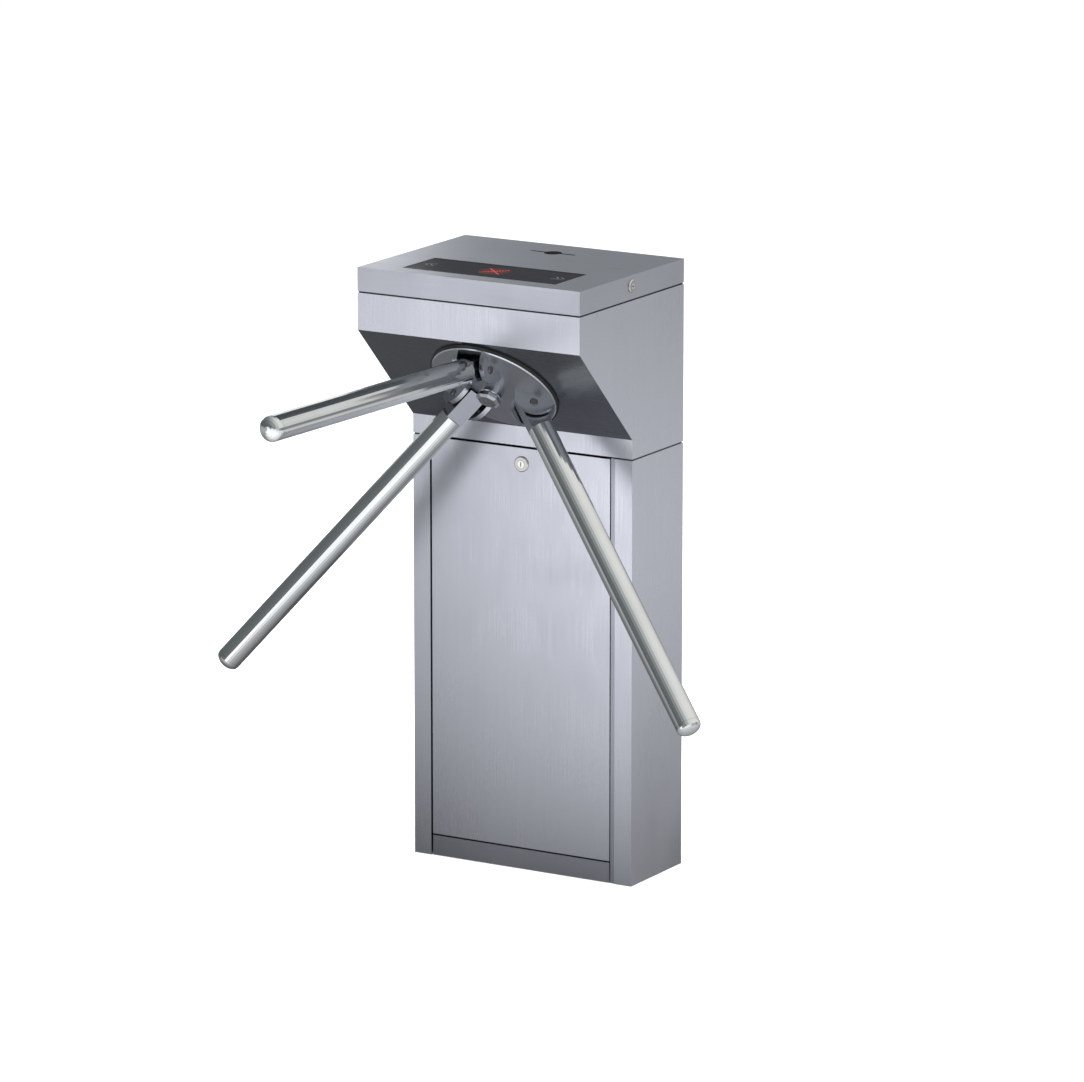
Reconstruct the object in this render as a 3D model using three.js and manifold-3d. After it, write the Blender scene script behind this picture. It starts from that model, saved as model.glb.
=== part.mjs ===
// Waist-high tripod turnstile: a sheet-steel cabinet, an overhanging head with a slanted face,
// and a three-arm rotor that turns about the normal of that face.
// Millimetres, +Z up, front towards -Y, origin at the centre of the cabinet's underside.
import * as THREE from 'three';
import { mergeVertices } from 'three/addons/utils/BufferGeometryUtils.js';
import Module from 'manifold-3d';

const wasm = await Module();
wasm.setup();

// ---- Driving dimensions ------------------------------------------------------------------
const WIDTH = 400;
const HEIGHT = 980;
const CABINET_DEPTH = 160;
const HEAD_DEPTH = 322;
const SEAM_Z = 687; // joint between the cabinet and the head
const SLANT_LOW_Z = 719;
const SLANT_HIGH_Z = 881;
const LID_SEAM_Z = 941;
const SHEET = 1.5;
const SEAM = 2.6; // open seam between two sheet-metal casings
const FIT = 0.3; // clearance between separate pieces that touch

const STILE_EDGE_X = 169; // inner edge of the cabinet's two front stiles
const DOOR_LEFT_X = -165.5;
const DOOR_RIGHT_X = 160;
const DOOR_LOW_Z = 36;
const RETURN_DEPTH = 14; // how far folded edges turn inwards
const BASE_THICKNESS = 10;

const HUB_RADIUS = 104;
const ARM_CONE = THREE.MathUtils.degToRad(46); // angle between each arm and the rotor's axis
const ARM_APEX = -50; // where the arms' centre lines meet, measured along the rotor's axis
const ARM_REACH = 684; // from that point to the tip of an arm
const ARM_RADIUS = 20;
const TUBE_START = 128;
const CAP_LENGTH = 17;
const SHAFT_RADIUS = 15;

const LOCK_NOTCHES = 12;
const GEAR_MODULE = 2;
const GEAR_TEETH = 48;
const PINION_TEETH = 24;

const HALF_WIDTH = WIDTH / 2;
const FRONT = -CABINET_DEPTH / 2;
const BACK = CABINET_DEPTH / 2;
const HEAD_FRONT = BACK - HEAD_DEPTH;
const FACE_TILT = Math.atan2(HEAD_DEPTH - CABINET_DEPTH, SLANT_HIGH_Z - SLANT_LOW_Z);

// ---- Materials ---------------------------------------------------------------------------
const finish = (color, roughness, metalness) =>
  new THREE.MeshStandardMaterial({ color, roughness, metalness });
const brushedSteel = finish(0xb4b5bd, 0.38, 1);
const darkSteel = finish(0x85868e, 0.42, 1);
const chrome = finish(0xc8cac6, 0.12, 1);
const zinc = finish(0x9a9da2, 0.5, 1);
const castAlloy = finish(0x8d9094, 0.55, 1);
const blackGloss = finish(0x101114, 0.12, 0);
const blackPlastic = finish(0x1a1b1d, 0.6, 0);
const boardGreen = finish(0x1f5a3a, 0.6, 0);
const bronze = finish(0xa98a4f, 0.4, 1);

// ---- Shape helpers -----------------------------------------------------------------------
const turnstile = new THREE.Group();

function part(name, geometry, material, parent = turnstile) {
  const mesh = new THREE.Mesh(geometry, material);
  mesh.name = name;
  parent.add(mesh);
  return mesh;
}

function toManifold(geometry) {
  const bare = new THREE.BufferGeometry();
  bare.setAttribute('position', geometry.attributes.position.clone());
  if (geometry.index) bare.setIndex(geometry.index.clone());
  const merged = mergeVertices(bare, 1e-4);
  const corners = merged.index.array;
  const triangles = [];
  for (let i = 0; i < corners.length; i += 3) {
    const [a, b, c] = [corners[i], corners[i + 1], corners[i + 2]];
    if (a !== b && b !== c && c !== a) triangles.push(a, b, c);
  }
  return new wasm.Manifold(new wasm.Mesh({
    numProp: 3,
    vertProperties: new Float32Array(merged.attributes.position.array),
    triVerts: new Uint32Array(triangles),
  }));
}

function toGeometry(solid) {
  const mesh = solid.getMesh();
  const geometry = new THREE.BufferGeometry();
  geometry.setAttribute('position', new THREE.BufferAttribute(mesh.vertProperties, 3));
  geometry.setIndex(new THREE.BufferAttribute(mesh.triVerts, 1));
  return geometry;
}

const cut = (body, ...tools) =>
  toGeometry(tools.reduce((rest, tool) => rest.subtract(toManifold(tool)), toManifold(body)));
const join = (body, ...others) =>
  toGeometry(others.reduce((sum, other) => sum.add(toManifold(other)), toManifold(body)));

const box = (x0, x1, y0, y1, z0, z1) =>
  new THREE.BoxGeometry(x1 - x0, y1 - y0, z1 - z0)
    .translate((x0 + x1) / 2, (y0 + y1) / 2, (z0 + z1) / 2);

// A cylinder, or a regular prism when it has few sides, along Z.
const rod = (radius, z0, z1, sides = 32) =>
  new THREE.CylinderGeometry(radius, radius, z1 - z0, sides)
    .rotateX(Math.PI / 2)
    .translate(0, 0, (z0 + z1) / 2);

// A closed [radius, height] profile, listed counter-clockwise, turned about Z.
const turned = (profile, sides = 40) =>
  new THREE.LatheGeometry(profile.map(([r, z]) => new THREE.Vector2(r, z)), sides)
    .rotateX(Math.PI / 2);

const ring = (inner, outer, z0, z1, sides = 40) =>
  turned([[inner, z0], [outer, z0], [outer, z1], [inner, z1], [inner, z0]], sides);

function outline(points) {
  return new THREE.Shape(points.map(([x, y]) => new THREE.Vector2(x, y)));
}

const prism = (shape, z0, z1, curveSegments = 12) =>
  new THREE.ExtrudeGeometry(shape, { depth: z1 - z0, bevelEnabled: false, curveSegments })
    .translate(0, 0, z0);

// Turns a prism drawn in X and Y so that it is drawn in Y and Z and runs along X.
const alongX = (geometry) =>
  geometry.applyMatrix4(new THREE.Matrix4().makeBasis(
    new THREE.Vector3(0, 1, 0), new THREE.Vector3(0, 0, 1), new THREE.Vector3(1, 0, 0)));

const boxRing = (halfX, y0, y1, z0, z1, wall) =>
  cut(
    box(-halfX, halfX, y0, y1, z0, z1),
    box(wall - halfX, halfX - wall, y0 + wall, y1 - wall, z0 - 1, z1 + 1));

// A panel with folded edges, open towards the back.
const frontTray = (z0, z1) =>
  cut(
    box(DOOR_LEFT_X, DOOR_RIGHT_X, FRONT, FRONT + RETURN_DEPTH, z0, z1),
    box(DOOR_LEFT_X + SHEET, DOOR_RIGHT_X - SHEET, FRONT + SHEET, FRONT + RETURN_DEPTH + 1,
      z0 + SHEET, z1 - SHEET));

function frameAt(x, y, z, parent = turnstile) {
  const frame = new THREE.Group();
  frame.position.set(x, y, z);
  parent.add(frame);
  return frame;
}

// ---- Cabinet -----------------------------------------------------------------------------
const STILE_RETURN = 18;
const REBATE_DEPTH = 2; // the strip between the door and the right stile lies just behind their faces
const REBATE_GAP = 0.8; // between that strip and the door
const insideX = HALF_WIDTH - SHEET;
const insideBack = BACK - SHEET;
const insideFront = FRONT + SHEET;
const stileEdge = STILE_EDGE_X + SHEET;

const rebateFront = FRONT + REBATE_DEPTH;
const rebateBack = rebateFront + SHEET;
const rebateEdge = DOOR_RIGHT_X + REBATE_GAP;

const cabinetPlan = outline([
  [-STILE_EDGE_X, FRONT], [-HALF_WIDTH, FRONT], [-HALF_WIDTH, BACK], [HALF_WIDTH, BACK],
  [HALF_WIDTH, FRONT], [STILE_EDGE_X, FRONT], [STILE_EDGE_X, rebateFront],
  [rebateEdge, rebateFront], [rebateEdge, rebateBack], [stileEdge, rebateBack],
  [stileEdge, insideFront], [insideX, insideFront], [insideX, insideBack],
  [-insideX, insideBack], [-insideX, insideFront], [-stileEdge, insideFront],
  [-stileEdge, FRONT + STILE_RETURN], [-STILE_EDGE_X, FRONT + STILE_RETURN],
]);
part('cabinet_shell', prism(cabinetPlan, 0, SEAM_Z - SEAM / 2), brushedSteel);

const DOOR_HIGH_Z = SEAM_Z - SEAM;
const DOOR_LOCK_Z = 659;
const DOOR_LOCK = { flange: 12.5, barrel: 9, plug: 6, camReach: 24 };
const LID_LOCK = { flange: 10.5, barrel: 8, plug: 5, camReach: 14.5 };
const LOCK_HOLE_REACH = 20;
const doorLockHole = rod(DOOR_LOCK.barrel + FIT, -LOCK_HOLE_REACH, LOCK_HOLE_REACH)
  .rotateX(Math.PI / 2)
  .translate(0, FRONT, DOOR_LOCK_Z);
part('door_panel', cut(frontTray(DOOR_LOW_Z, DOOR_HIGH_Z), doorLockHole), brushedSteel);
part('kick_plate', frontTray(1, DOOR_LOW_Z - SEAM), darkSteel);

// Base plate with four floor anchors and a cable hole.
const ANCHOR_RADIUS = 6;
const WASHER_RADIUS = 12;
const NUT_RADIUS = 10;
const CABLE_HOLE = { y: -36, radius: 22 };
const baseFront = FRONT + RETURN_DEPTH + 2;
const anchorPlaces = [[-182, -44], [182, -44], [-182, 58], [182, 58]];
const anchorHoles = anchorPlaces.map(([x, y]) =>
  rod(ANCHOR_RADIUS + 1, -1, BASE_THICKNESS + 1).translate(x, y, 0));
const cableHole = rod(CABLE_HOLE.radius, -1, BASE_THICKNESS + 1).translate(0, CABLE_HOLE.y, 0);
part('base_plate', cut(
  box(-insideX + FIT, insideX - FIT, baseFront, insideBack - FIT, 0, BASE_THICKNESS),
  box(-HALF_WIDTH, 1 - STILE_EDGE_X, FRONT, FRONT + STILE_RETURN + 1, -1, BASE_THICKNESS + 1),
  box(STILE_EDGE_X - 1, HALF_WIDTH, FRONT, FRONT + STILE_RETURN + 1, -1, BASE_THICKNESS + 1),
  cableHole, ...anchorHoles), zinc);
anchorPlaces.forEach(([x, y], i) => {
  const washerZ = BASE_THICKNESS + FIT;
  const anchor = join(
    rod(ANCHOR_RADIUS, 0.5, washerZ + 1, 24),
    rod(WASHER_RADIUS, washerZ, washerZ + 2.5, 24),
    rod(NUT_RADIUS, washerZ + 2.4, washerZ + 10, 6));
  part(`anchor_bolt_${i + 1}`, anchor, zinc, frameAt(x, y, 0));
});

// Neck frame: the welded ring inside the seam, with the rail that the door's lock cam goes behind.
const NECK_LOW_Z = 650;
const NECK_HIGH_Z = 714;
const NECK_WALL = 4;
const CAM_RAIL = { front: -61, back: -58.4, low: 670, high: 684 };
const neckHalfX = insideX - FIT;
part('neck_frame', join(
  cut(
    boxRing(neckHalfX, insideFront + FIT, insideBack - FIT, NECK_LOW_Z, NECK_HIGH_Z, NECK_WALL),
    box(-stileEdge - 1, stileEdge + 1, FRONT, FRONT + STILE_RETURN + 1,
      NECK_LOW_Z - 1, SEAM_Z + FIT)),
  box(-neckHalfX + 1, neckHalfX - 1, CAM_RAIL.front, CAM_RAIL.back, CAM_RAIL.low, CAM_RAIL.high)),
zinc);

// Power supply with its mounting flange and cooling ribs, and the battery that releases the
// locks when the mains fails.
const standing = BASE_THICKNESS + FIT;
const SUPPLY = { left: -150, right: -10, front: 0, back: 72, top: 78 };
const FLANGE_REACH = 8;
const RIB_PITCH = 20;
const supplyRibs = [1, 2, 3, 4, 5, 6].map((i) => {
  const x = SUPPLY.left + i * RIB_PITCH;
  return box(x - 3, x + 3, SUPPLY.front - 3, SUPPLY.front + 1, 26, 66);
});
part('power_supply', join(
  box(SUPPLY.left, SUPPLY.right, SUPPLY.front, SUPPLY.back, standing, SUPPLY.top),
  box(SUPPLY.left - FLANGE_REACH, SUPPLY.right + FLANGE_REACH, SUPPLY.front + 10, SUPPLY.back - 10,
    standing, BASE_THICKNESS + 3),
  ...supplyRibs), zinc);

const BATTERY = { left: 8, right: 159, front: 4, back: 69, top: 104 };
const TERMINAL_INSET = 12;
const TERMINAL_SIZE = 8;
const TERMINAL_Y = 50;
const terminal = (x) => box(x, x + TERMINAL_SIZE, TERMINAL_Y, TERMINAL_Y + TERMINAL_SIZE,
  BATTERY.top - 1, BATTERY.top + 6);
part('battery', join(
  box(BATTERY.left, BATTERY.right, BATTERY.front, BATTERY.back, standing, BATTERY.top),
  terminal(BATTERY.left + TERMINAL_INSET),
  terminal(BATTERY.right - TERMINAL_INSET - TERMINAL_SIZE)), blackPlastic);

// ---- Head --------------------------------------------------------------------------------
const headTop = LID_SEAM_Z - SEAM / 2;
const headBottom = SEAM_Z + SEAM / 2;
const faceCentre = new THREE.Vector3(
  0, (FRONT + HEAD_FRONT) / 2, (SLANT_LOW_Z + SLANT_HIGH_Z) / 2);
const slantLift = (y) =>
  SLANT_LOW_Z + (SHEET - (y - FRONT) * Math.cos(FACE_TILT)) / Math.sin(FACE_TILT);

const headOuter = alongX(prism(outline([
  [BACK, headBottom], [BACK, headTop], [HEAD_FRONT, headTop], [HEAD_FRONT, SLANT_HIGH_Z],
  [FRONT, SLANT_LOW_Z], [FRONT, headBottom],
]), -HALF_WIDTH, HALF_WIDTH));
const headInner = alongX(prism(outline([
  [insideBack, headBottom - 1], [insideBack, headTop + 1], [HEAD_FRONT + SHEET, headTop + 1],
  [HEAD_FRONT + SHEET, slantLift(HEAD_FRONT + SHEET)], [insideFront, slantLift(insideFront)],
  [insideFront, headBottom - 1],
]), -insideX, insideX));

const FACE_HOLE_RADIUS = 90;
const tiltToFace = (geometry) =>
  geometry.rotateX(Math.PI / 2 + FACE_TILT).translate(...faceCentre.toArray());
const faceHole = tiltToFace(rod(FACE_HOLE_RADIUS, -12, 12, 64));

// The rim that the lid drops over: a narrow ledge and an upstand just inside the lid's skirt.
const RIM_INSET = 5;
const rimLedge = boxRing(insideX + 0.1, HEAD_FRONT + SHEET - 0.1, insideBack + 0.1,
  headTop - SHEET, headTop, RIM_INSET);
const rimUpstand = boxRing(HALF_WIDTH - 3.5, HEAD_FRONT + 3.5, BACK - 3.5,
  headTop - SHEET, headTop + 10, SHEET);

// The catch that the lid's lock cam turns under.
const LID_LOCK_Y = -84;
const LID_LOCK_Z = 963;
const catchX = HALF_WIDTH - 5.3;
const CATCH_FRONT = LID_LOCK_Y + 18;
const CATCH_BACK = CATCH_FRONT + 6;
const CATCH_LOW_Z = 918;
const CATCH_HIGH_Z = LID_LOCK_Z + 8;
const CATCH_THICKNESS = 3;
const lidCatch = [
  box(catchX - CATCH_THICKNESS, catchX, CATCH_FRONT, CATCH_BACK, CATCH_LOW_Z, CATCH_HIGH_Z),
  box(catchX - 0.1, insideX + 0.1, CATCH_FRONT, CATCH_BACK, CATCH_LOW_Z, CATCH_LOW_Z + 18),
  box(172, catchX, CATCH_FRONT - 7.5, CATCH_BACK, CATCH_HIGH_Z - CATCH_THICKNESS, CATCH_HIGH_Z),
];
part('head_shell', join(
  cut(headOuter, headInner, faceHole), rimLedge, rimUpstand, ...lidCatch), brushedSteel);

// ---- Lid ---------------------------------------------------------------------------------
const lidBottom = LID_SEAM_Z + SEAM / 2;
const lidInside = HEIGHT - SHEET;
const WINDOW_HALF_X = 137.5;
const WINDOW_HALF_Y = 48;
const WINDOW_Y = -162;
const READER_Y = 16;
const READER_HALF_X = 40;
const READER_BAR = 2.5;
const READER_DISC = 14;

const readerInlay = (grow, z0, z1) => join(
  box(-READER_HALF_X - grow, READER_HALF_X + grow,
    READER_Y - READER_BAR - grow, READER_Y + READER_BAR + grow, z0, z1),
  rod(READER_DISC + grow, z0, z1).translate(0, READER_Y, 0));

const lidLockHole = rod(LID_LOCK.barrel + FIT, -LOCK_HOLE_REACH, LOCK_HOLE_REACH)
  .rotateY(Math.PI / 2)
  .translate(HALF_WIDTH, LID_LOCK_Y, LID_LOCK_Z);
part('lid_cover', cut(
  box(-HALF_WIDTH, HALF_WIDTH, HEAD_FRONT, BACK, lidBottom, HEIGHT),
  box(-insideX, insideX, HEAD_FRONT + SHEET, insideBack, lidBottom - 1, lidInside),
  box(-WINDOW_HALF_X - FIT, WINDOW_HALF_X + FIT, WINDOW_Y - WINDOW_HALF_Y - FIT,
    WINDOW_Y + WINDOW_HALF_Y + FIT, lidInside - 1, HEIGHT + 1),
  readerInlay(FIT, lidInside - 1, HEIGHT + 1),
  lidLockHole), brushedSteel);
const WINDOW_RECESS = 0.6; // how far the glass lies below the lid's top
const WINDOW_THICKNESS = 2.4;
const windowTop = HEIGHT - WINDOW_RECESS;
const windowBottom = windowTop - WINDOW_THICKNESS;
part('display_window', box(-WINDOW_HALF_X, WINDOW_HALF_X, WINDOW_Y - WINDOW_HALF_Y,
  WINDOW_Y + WINDOW_HALF_Y, windowBottom, windowTop), blackGloss);

// The board behind the window carries three lamp blocks: an arrow at each end, a cross between.
const LAMP_X = 115;
const LAMP_HALF = 14;
const DISPLAY_BOARD_Z = 968;
const DISPLAY_BOARD_TOP = DISPLAY_BOARD_Z + 1.6;
const lampBlocks = [-LAMP_X, 0, LAMP_X].map((x) =>
  box(x - LAMP_HALF, x + LAMP_HALF, WINDOW_Y - LAMP_HALF, WINDOW_Y + LAMP_HALF,
    DISPLAY_BOARD_TOP - 0.1, windowBottom - 0.4));
part('display_board', join(
  box(7.5 - WINDOW_HALF_X, WINDOW_HALF_X - 7.5, WINDOW_Y - WINDOW_HALF_Y + 6,
    WINDOW_Y + WINDOW_HALF_Y - 6, DISPLAY_BOARD_Z, DISPLAY_BOARD_TOP),
  ...lampBlocks), boardGreen);

const READER_BODY = { halfX: READER_HALF_X + 6, halfY: 20, low: 956 };
part('card_reader', join(
  box(-READER_BODY.halfX, READER_BODY.halfX, READER_Y - READER_BODY.halfY,
    READER_Y + READER_BODY.halfY, READER_BODY.low, lidInside - FIT),
  readerInlay(0, lidInside - 1, HEIGHT)), blackPlastic);

// Two butt hinges behind the head. The pin is riveted in the fixed leaf's knuckle.
const HINGE_Y = BACK + 6.6;
const KNUCKLE_RADIUS = 4.2;
const PIN_RADIUS = 1.8;
const LEAF_FRONT = BACK + FIT;
const LEAF_BACK = LEAF_FRONT + 1.8;
const LEAF_HALF = 25;
const LEAF_REACH = 26;
[['left', -120], ['right', 120]].forEach(([side, x]) => {
  const hinge = frameAt(x, 0, LID_SEAM_Z);
  const knuckle = (radius, x0, x1, sides) =>
    alongX(rod(radius, x0, x1, sides).rotateZ(Math.PI / sides)).translate(0, HINGE_Y, 0);
  const leaf = (x0, x1, z0, z1, webLow, webHigh) => join(
    box(-LEAF_HALF, LEAF_HALF, LEAF_FRONT, LEAF_BACK, z0, z1),
    box(x0, x1, LEAF_FRONT + 0.5, HINGE_Y - 2, webLow, webHigh),
    knuckle(KNUCKLE_RADIUS, x0, x1, 20));
  const pinHole = knuckle(PIN_RADIUS + FIT, -30, 30, 16);
  part(`hinge_leaf_fixed_${side}`, join(
    leaf(1 - LEAF_HALF, -FIT / 2, -LEAF_REACH, -1.6, -3.4, -1.6),
    knuckle(PIN_RADIUS, -1, LEAF_HALF + 1, 16)), zinc, hinge);
  part(`hinge_leaf_moving_${side}`, cut(
    leaf(FIT, LEAF_HALF - 1, 1.9, LEAF_REACH, 1.9, 3.4), pinHole), zinc, hinge);
});

// ---- Cam locks: the front of the lock faces +Z of its own frame ----------------------------
function camLock(prefix, size, frame) {
  const plugFront = 3;
  const barrelBack = -20;
  const neckBack = -27;
  const neck = size.plug - 2;
  part(`${prefix}_lock_body`, turned([
    [size.plug + FIT, barrelBack], [size.barrel, barrelBack], [size.barrel, FIT],
    [size.flange, FIT], [size.flange, 1.8], [size.flange - 1.4, 2.8],
    [size.plug + FIT, 2.8], [size.plug + FIT, barrelBack],
  ]), chrome, frame);
  part(`${prefix}_lock_plug`, cut(
    turned([[0, neckBack], [neck, neckBack], [neck, barrelBack - 1], [size.plug, barrelBack - 1],
      [size.plug, plugFront], [0, plugFront]], 24),
    box(-0.8, 0.8, -size.plug * 0.62, size.plug * 0.62, -4, plugFront + 1)), zinc, frame);
  const camWidth = size.plug + 0.5;
  const camPlate = outline([
    [-camWidth, -camWidth], [size.camReach - 3, -camWidth * 0.7],
    [size.camReach, -camWidth * 0.35], [size.camReach, camWidth * 0.35],
    [size.camReach - 3, camWidth * 0.7], [-camWidth, camWidth],
  ]);
  const cam = cut(prism(camPlate, -25.5, -23), rod(neck + FIT, -30, -18, 20));
  part(`${prefix}_lock_cam`, cam, zinc, frame);
}
const doorLockFrame = frameAt(0, FRONT, DOOR_LOCK_Z);
doorLockFrame.rotation.x = Math.PI / 2;
camLock('door', DOOR_LOCK, doorLockFrame);
const lidLockFrame = frameAt(HALF_WIDTH, LID_LOCK_Y, LID_LOCK_Z);
lidLockFrame.rotation.y = Math.PI / 2;
camLock('lid', LID_LOCK, lidLockFrame);

// ---- Rotor frame: +Z along the rotor's axis out of the slanted face, +Y up the slope --------
const axisFrame = frameAt(...faceCentre.toArray());
axisFrame.rotation.x = Math.PI / 2 + FACE_TILT;

// ---- Hub: a disc with a pair of half-moon cheeks and a slot for each arm --------------------
const DISC_BACK = 2;
const DISC_FRONT = 6;

// The seal lies under the disc's edge and has a lip that stands around it.
const SEAL_LIP = 3;
const SEAL_INNER = FACE_HOLE_RADIUS + 2;
const sealTop = DISC_FRONT - 1.8;
part('face_seal', turned([
  [SEAL_INNER, FIT], [HUB_RADIUS + SEAL_LIP, FIT], [HUB_RADIUS + SEAL_LIP - 0.8, sealTop],
  [HUB_RADIUS + FIT, sealTop], [HUB_RADIUS + FIT, DISC_BACK - FIT], [SEAL_INNER, DISC_BACK - FIT],
  [SEAL_INNER, FIT],
], 64), blackPlastic, axisFrame);

const CHEEK_INNER_X = 20.5;
const CHEEK_OUTER_X = 28;
const CHEEK_CENTRE_Y = 66;
const CHEEK_RADIUS = 34;
const BOSS_RADIUS = 18;
const BOSS_FRONT = 24;
const SLOT_INNER_Y = 42;
const SLOT_OUTER_Y = 91.5;
const BOLT_RADIUS = 5;
const BOLT_AT = 95; // distance of the cross bolt from the arms' apex, along the arm

const boltY = BOLT_AT * Math.sin(ARM_CONE);
const boltZ = ARM_APEX + BOLT_AT * Math.cos(ARM_CONE);
const armTurns = [0, 2, 1].map((step) => (step * 2 * Math.PI) / 3);

function cheek(x0, x1) {
  const sink = DISC_FRONT - 0.1;
  const chordAngle = Math.asin(sink / CHEEK_RADIUS);
  const halfMoon = new THREE.Shape();
  halfMoon.absarc(CHEEK_CENTRE_Y, 0, CHEEK_RADIUS, chordAngle, Math.PI - chordAngle, false);
  const boltHole = alongX(rod(BOLT_RADIUS + FIT, x0 - 1, x1 + 1, 20)).translate(0, boltY, boltZ);
  return cut(alongX(prism(halfMoon, x0, x1, 20)), boltHole);
}

const hubDisc = turned([
  [0, DISC_BACK], [HUB_RADIUS, DISC_BACK], [HUB_RADIUS, DISC_FRONT - 1.6],
  [HUB_RADIUS - 1.6, DISC_FRONT], [0, DISC_FRONT],
], 96);
const hubSlots = armTurns.map((turn) =>
  box(-CHEEK_INNER_X, CHEEK_INNER_X, SLOT_INNER_Y, SLOT_OUTER_Y, DISC_BACK - 1, DISC_FRONT + 1)
    .rotateZ(turn));
const hubCheeks = armTurns.flatMap((turn) => [
  cheek(-CHEEK_OUTER_X, -CHEEK_INNER_X).rotateZ(turn),
  cheek(CHEEK_INNER_X, CHEEK_OUTER_X).rotateZ(turn),
]);
const hubBoss = turned([
  [0, DISC_FRONT - 0.1], [BOSS_RADIUS, DISC_FRONT - 0.1], [BOSS_RADIUS, BOSS_FRONT - 3],
  [BOSS_RADIUS - 3, BOSS_FRONT], [0, BOSS_FRONT],
], 40);
part('hub_casting', join(cut(hubDisc, ...hubSlots), hubBoss, ...hubCheeks), chrome, axisFrame);
part('hub_cap', turned([
  [0, BOSS_FRONT + FIT], [20, BOSS_FRONT + FIT], [20, BOSS_FRONT + 6], [15, BOSS_FRONT + 9],
  [0, BOSS_FRONT + 10],
], 8).rotateZ(Math.PI / 8), chrome, axisFrame);

// ---- Arms: root block, tube, domed end and cross bolt ---------------------------------------
const BOLT_HEAD_RADIUS = 6.5;
const ROOT_HALF_X = 15;
const ROOT_HALF_Y = 17;
const ROOT_START = 70;
const TUBE_WALL = 1.5;
const SPIGOT_RADIUS = ARM_RADIUS - TUBE_WALL - FIT;
const ROOT_SPIGOT = 30;
const END_SPIGOT = 15;
const tubeEnd = ARM_REACH - CAP_LENGTH;

function armRoot() {
  const body = join(
    box(-ROOT_HALF_X, ROOT_HALF_X, -ROOT_HALF_Y, ROOT_HALF_Y, ROOT_START, TUBE_START),
    rod(SPIGOT_RADIUS, TUBE_START - 0.1, TUBE_START + ROOT_SPIGOT, 32));
  const boltHole = alongX(rod(BOLT_RADIUS + FIT, -ROOT_HALF_X - 1, ROOT_HALF_X + 1, 20));
  return cut(body, boltHole.translate(0, 0, BOLT_AT));
}

function armEnd() {
  const shoulder = tubeEnd + FIT;
  const straight = 4;
  const domeSteps = 6;
  const profile = [[0, tubeEnd - END_SPIGOT], [SPIGOT_RADIUS, tubeEnd - END_SPIGOT],
    [SPIGOT_RADIUS, shoulder], [ARM_RADIUS, shoulder]];
  for (let i = 0; i <= domeSteps; i += 1) {
    const angle = (i / domeSteps) * (Math.PI / 2);
    const rise = (CAP_LENGTH - FIT - straight) * Math.sin(angle);
    profile.push([i === domeSteps ? 0 : ARM_RADIUS * Math.cos(angle), shoulder + straight + rise]);
  }
  return turned(profile, 32);
}

// A pin with a low round head at each end.
function armBolt() {
  const headStart = CHEEK_OUTER_X + FIT;
  const headEnd = headStart + 1.6;
  const head = turned([[0, headStart - 1], [BOLT_RADIUS, headStart - 1], [BOLT_RADIUS, headStart],
    [BOLT_HEAD_RADIUS, headStart], [BOLT_HEAD_RADIUS - 1, headEnd], [0, headEnd]], 24);
  return join(
    alongX(rod(BOLT_RADIUS, -headStart, headStart, 20)),
    alongX(head.clone()),
    alongX(head.clone().rotateY(Math.PI)));
}

armTurns.forEach((turn, i) => {
  const radialFrame = frameAt(0, 0, 0, axisFrame);
  radialFrame.rotation.z = turn;
  const armFrame = frameAt(0, 0, ARM_APEX, radialFrame);
  armFrame.rotation.x = -ARM_CONE;
  part(`arm_${i + 1}_root`, armRoot(), chrome, armFrame);
  part(`arm_${i + 1}_tube`, ring(ARM_RADIUS - TUBE_WALL, ARM_RADIUS, TUBE_START + FIT, tubeEnd, 32),
    chrome, armFrame);
  part(`arm_${i + 1}_end`, armEnd(), chrome, armFrame);
  part(`arm_${i + 1}_bolt`, armBolt(), zinc, frameAt(0, 0, BOLT_AT, armFrame));
});

// ---- Shaft and bearings ----------------------------------------------------------------------
const PLATE_FRONT = -30;
const PLATE_BACK = -36;
const HOUSING_BACK = -104;
const LOCK_PLATE_BACK = -108;
const SHAFT_BACK = -148;
const FLANGE = { radius: 34, back: -14 };
const BEARING_OUTER = 31;
const BEARING_WIDTH = 15.7;
const boreRadius = SHAFT_RADIUS + FIT;
const seatRadius = BEARING_OUTER + FIT;

part('main_shaft', turned([
  [0, SHAFT_BACK], [SHAFT_RADIUS, SHAFT_BACK], [SHAFT_RADIUS, FLANGE.back],
  [FLANGE.radius, FLANGE.back], [FLANGE.radius, DISC_BACK - FIT], [0, DISC_BACK - FIT],
], 40), zinc, axisFrame);

const PLATE_HALF_X = 112;
const PLATE_HALF_Y = 76;
const POST_INSET = 14;
const CLEARANCE_HOLE = 20; // the plates' holes around the shaft
const postX = PLATE_HALF_X - POST_INSET;
const postY = PLATE_HALF_Y - POST_INSET;
const postPlaces = [[-postX, -postY], [postX, -postY], [-postX, postY], [postX, postY]];
part('mechanism_plate', join(
  cut(
    box(-PLATE_HALF_X, PLATE_HALF_X, -PLATE_HALF_Y, PLATE_HALF_Y, PLATE_BACK, PLATE_FRONT),
    rod(CLEARANCE_HOLE, PLATE_BACK - 1, PLATE_FRONT + 1)),
  ...postPlaces.map(([x, y]) => rod(8, PLATE_FRONT - 0.1, -SHEET - FIT, 20).translate(x, y, 0))),
zinc, axisFrame);

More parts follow.
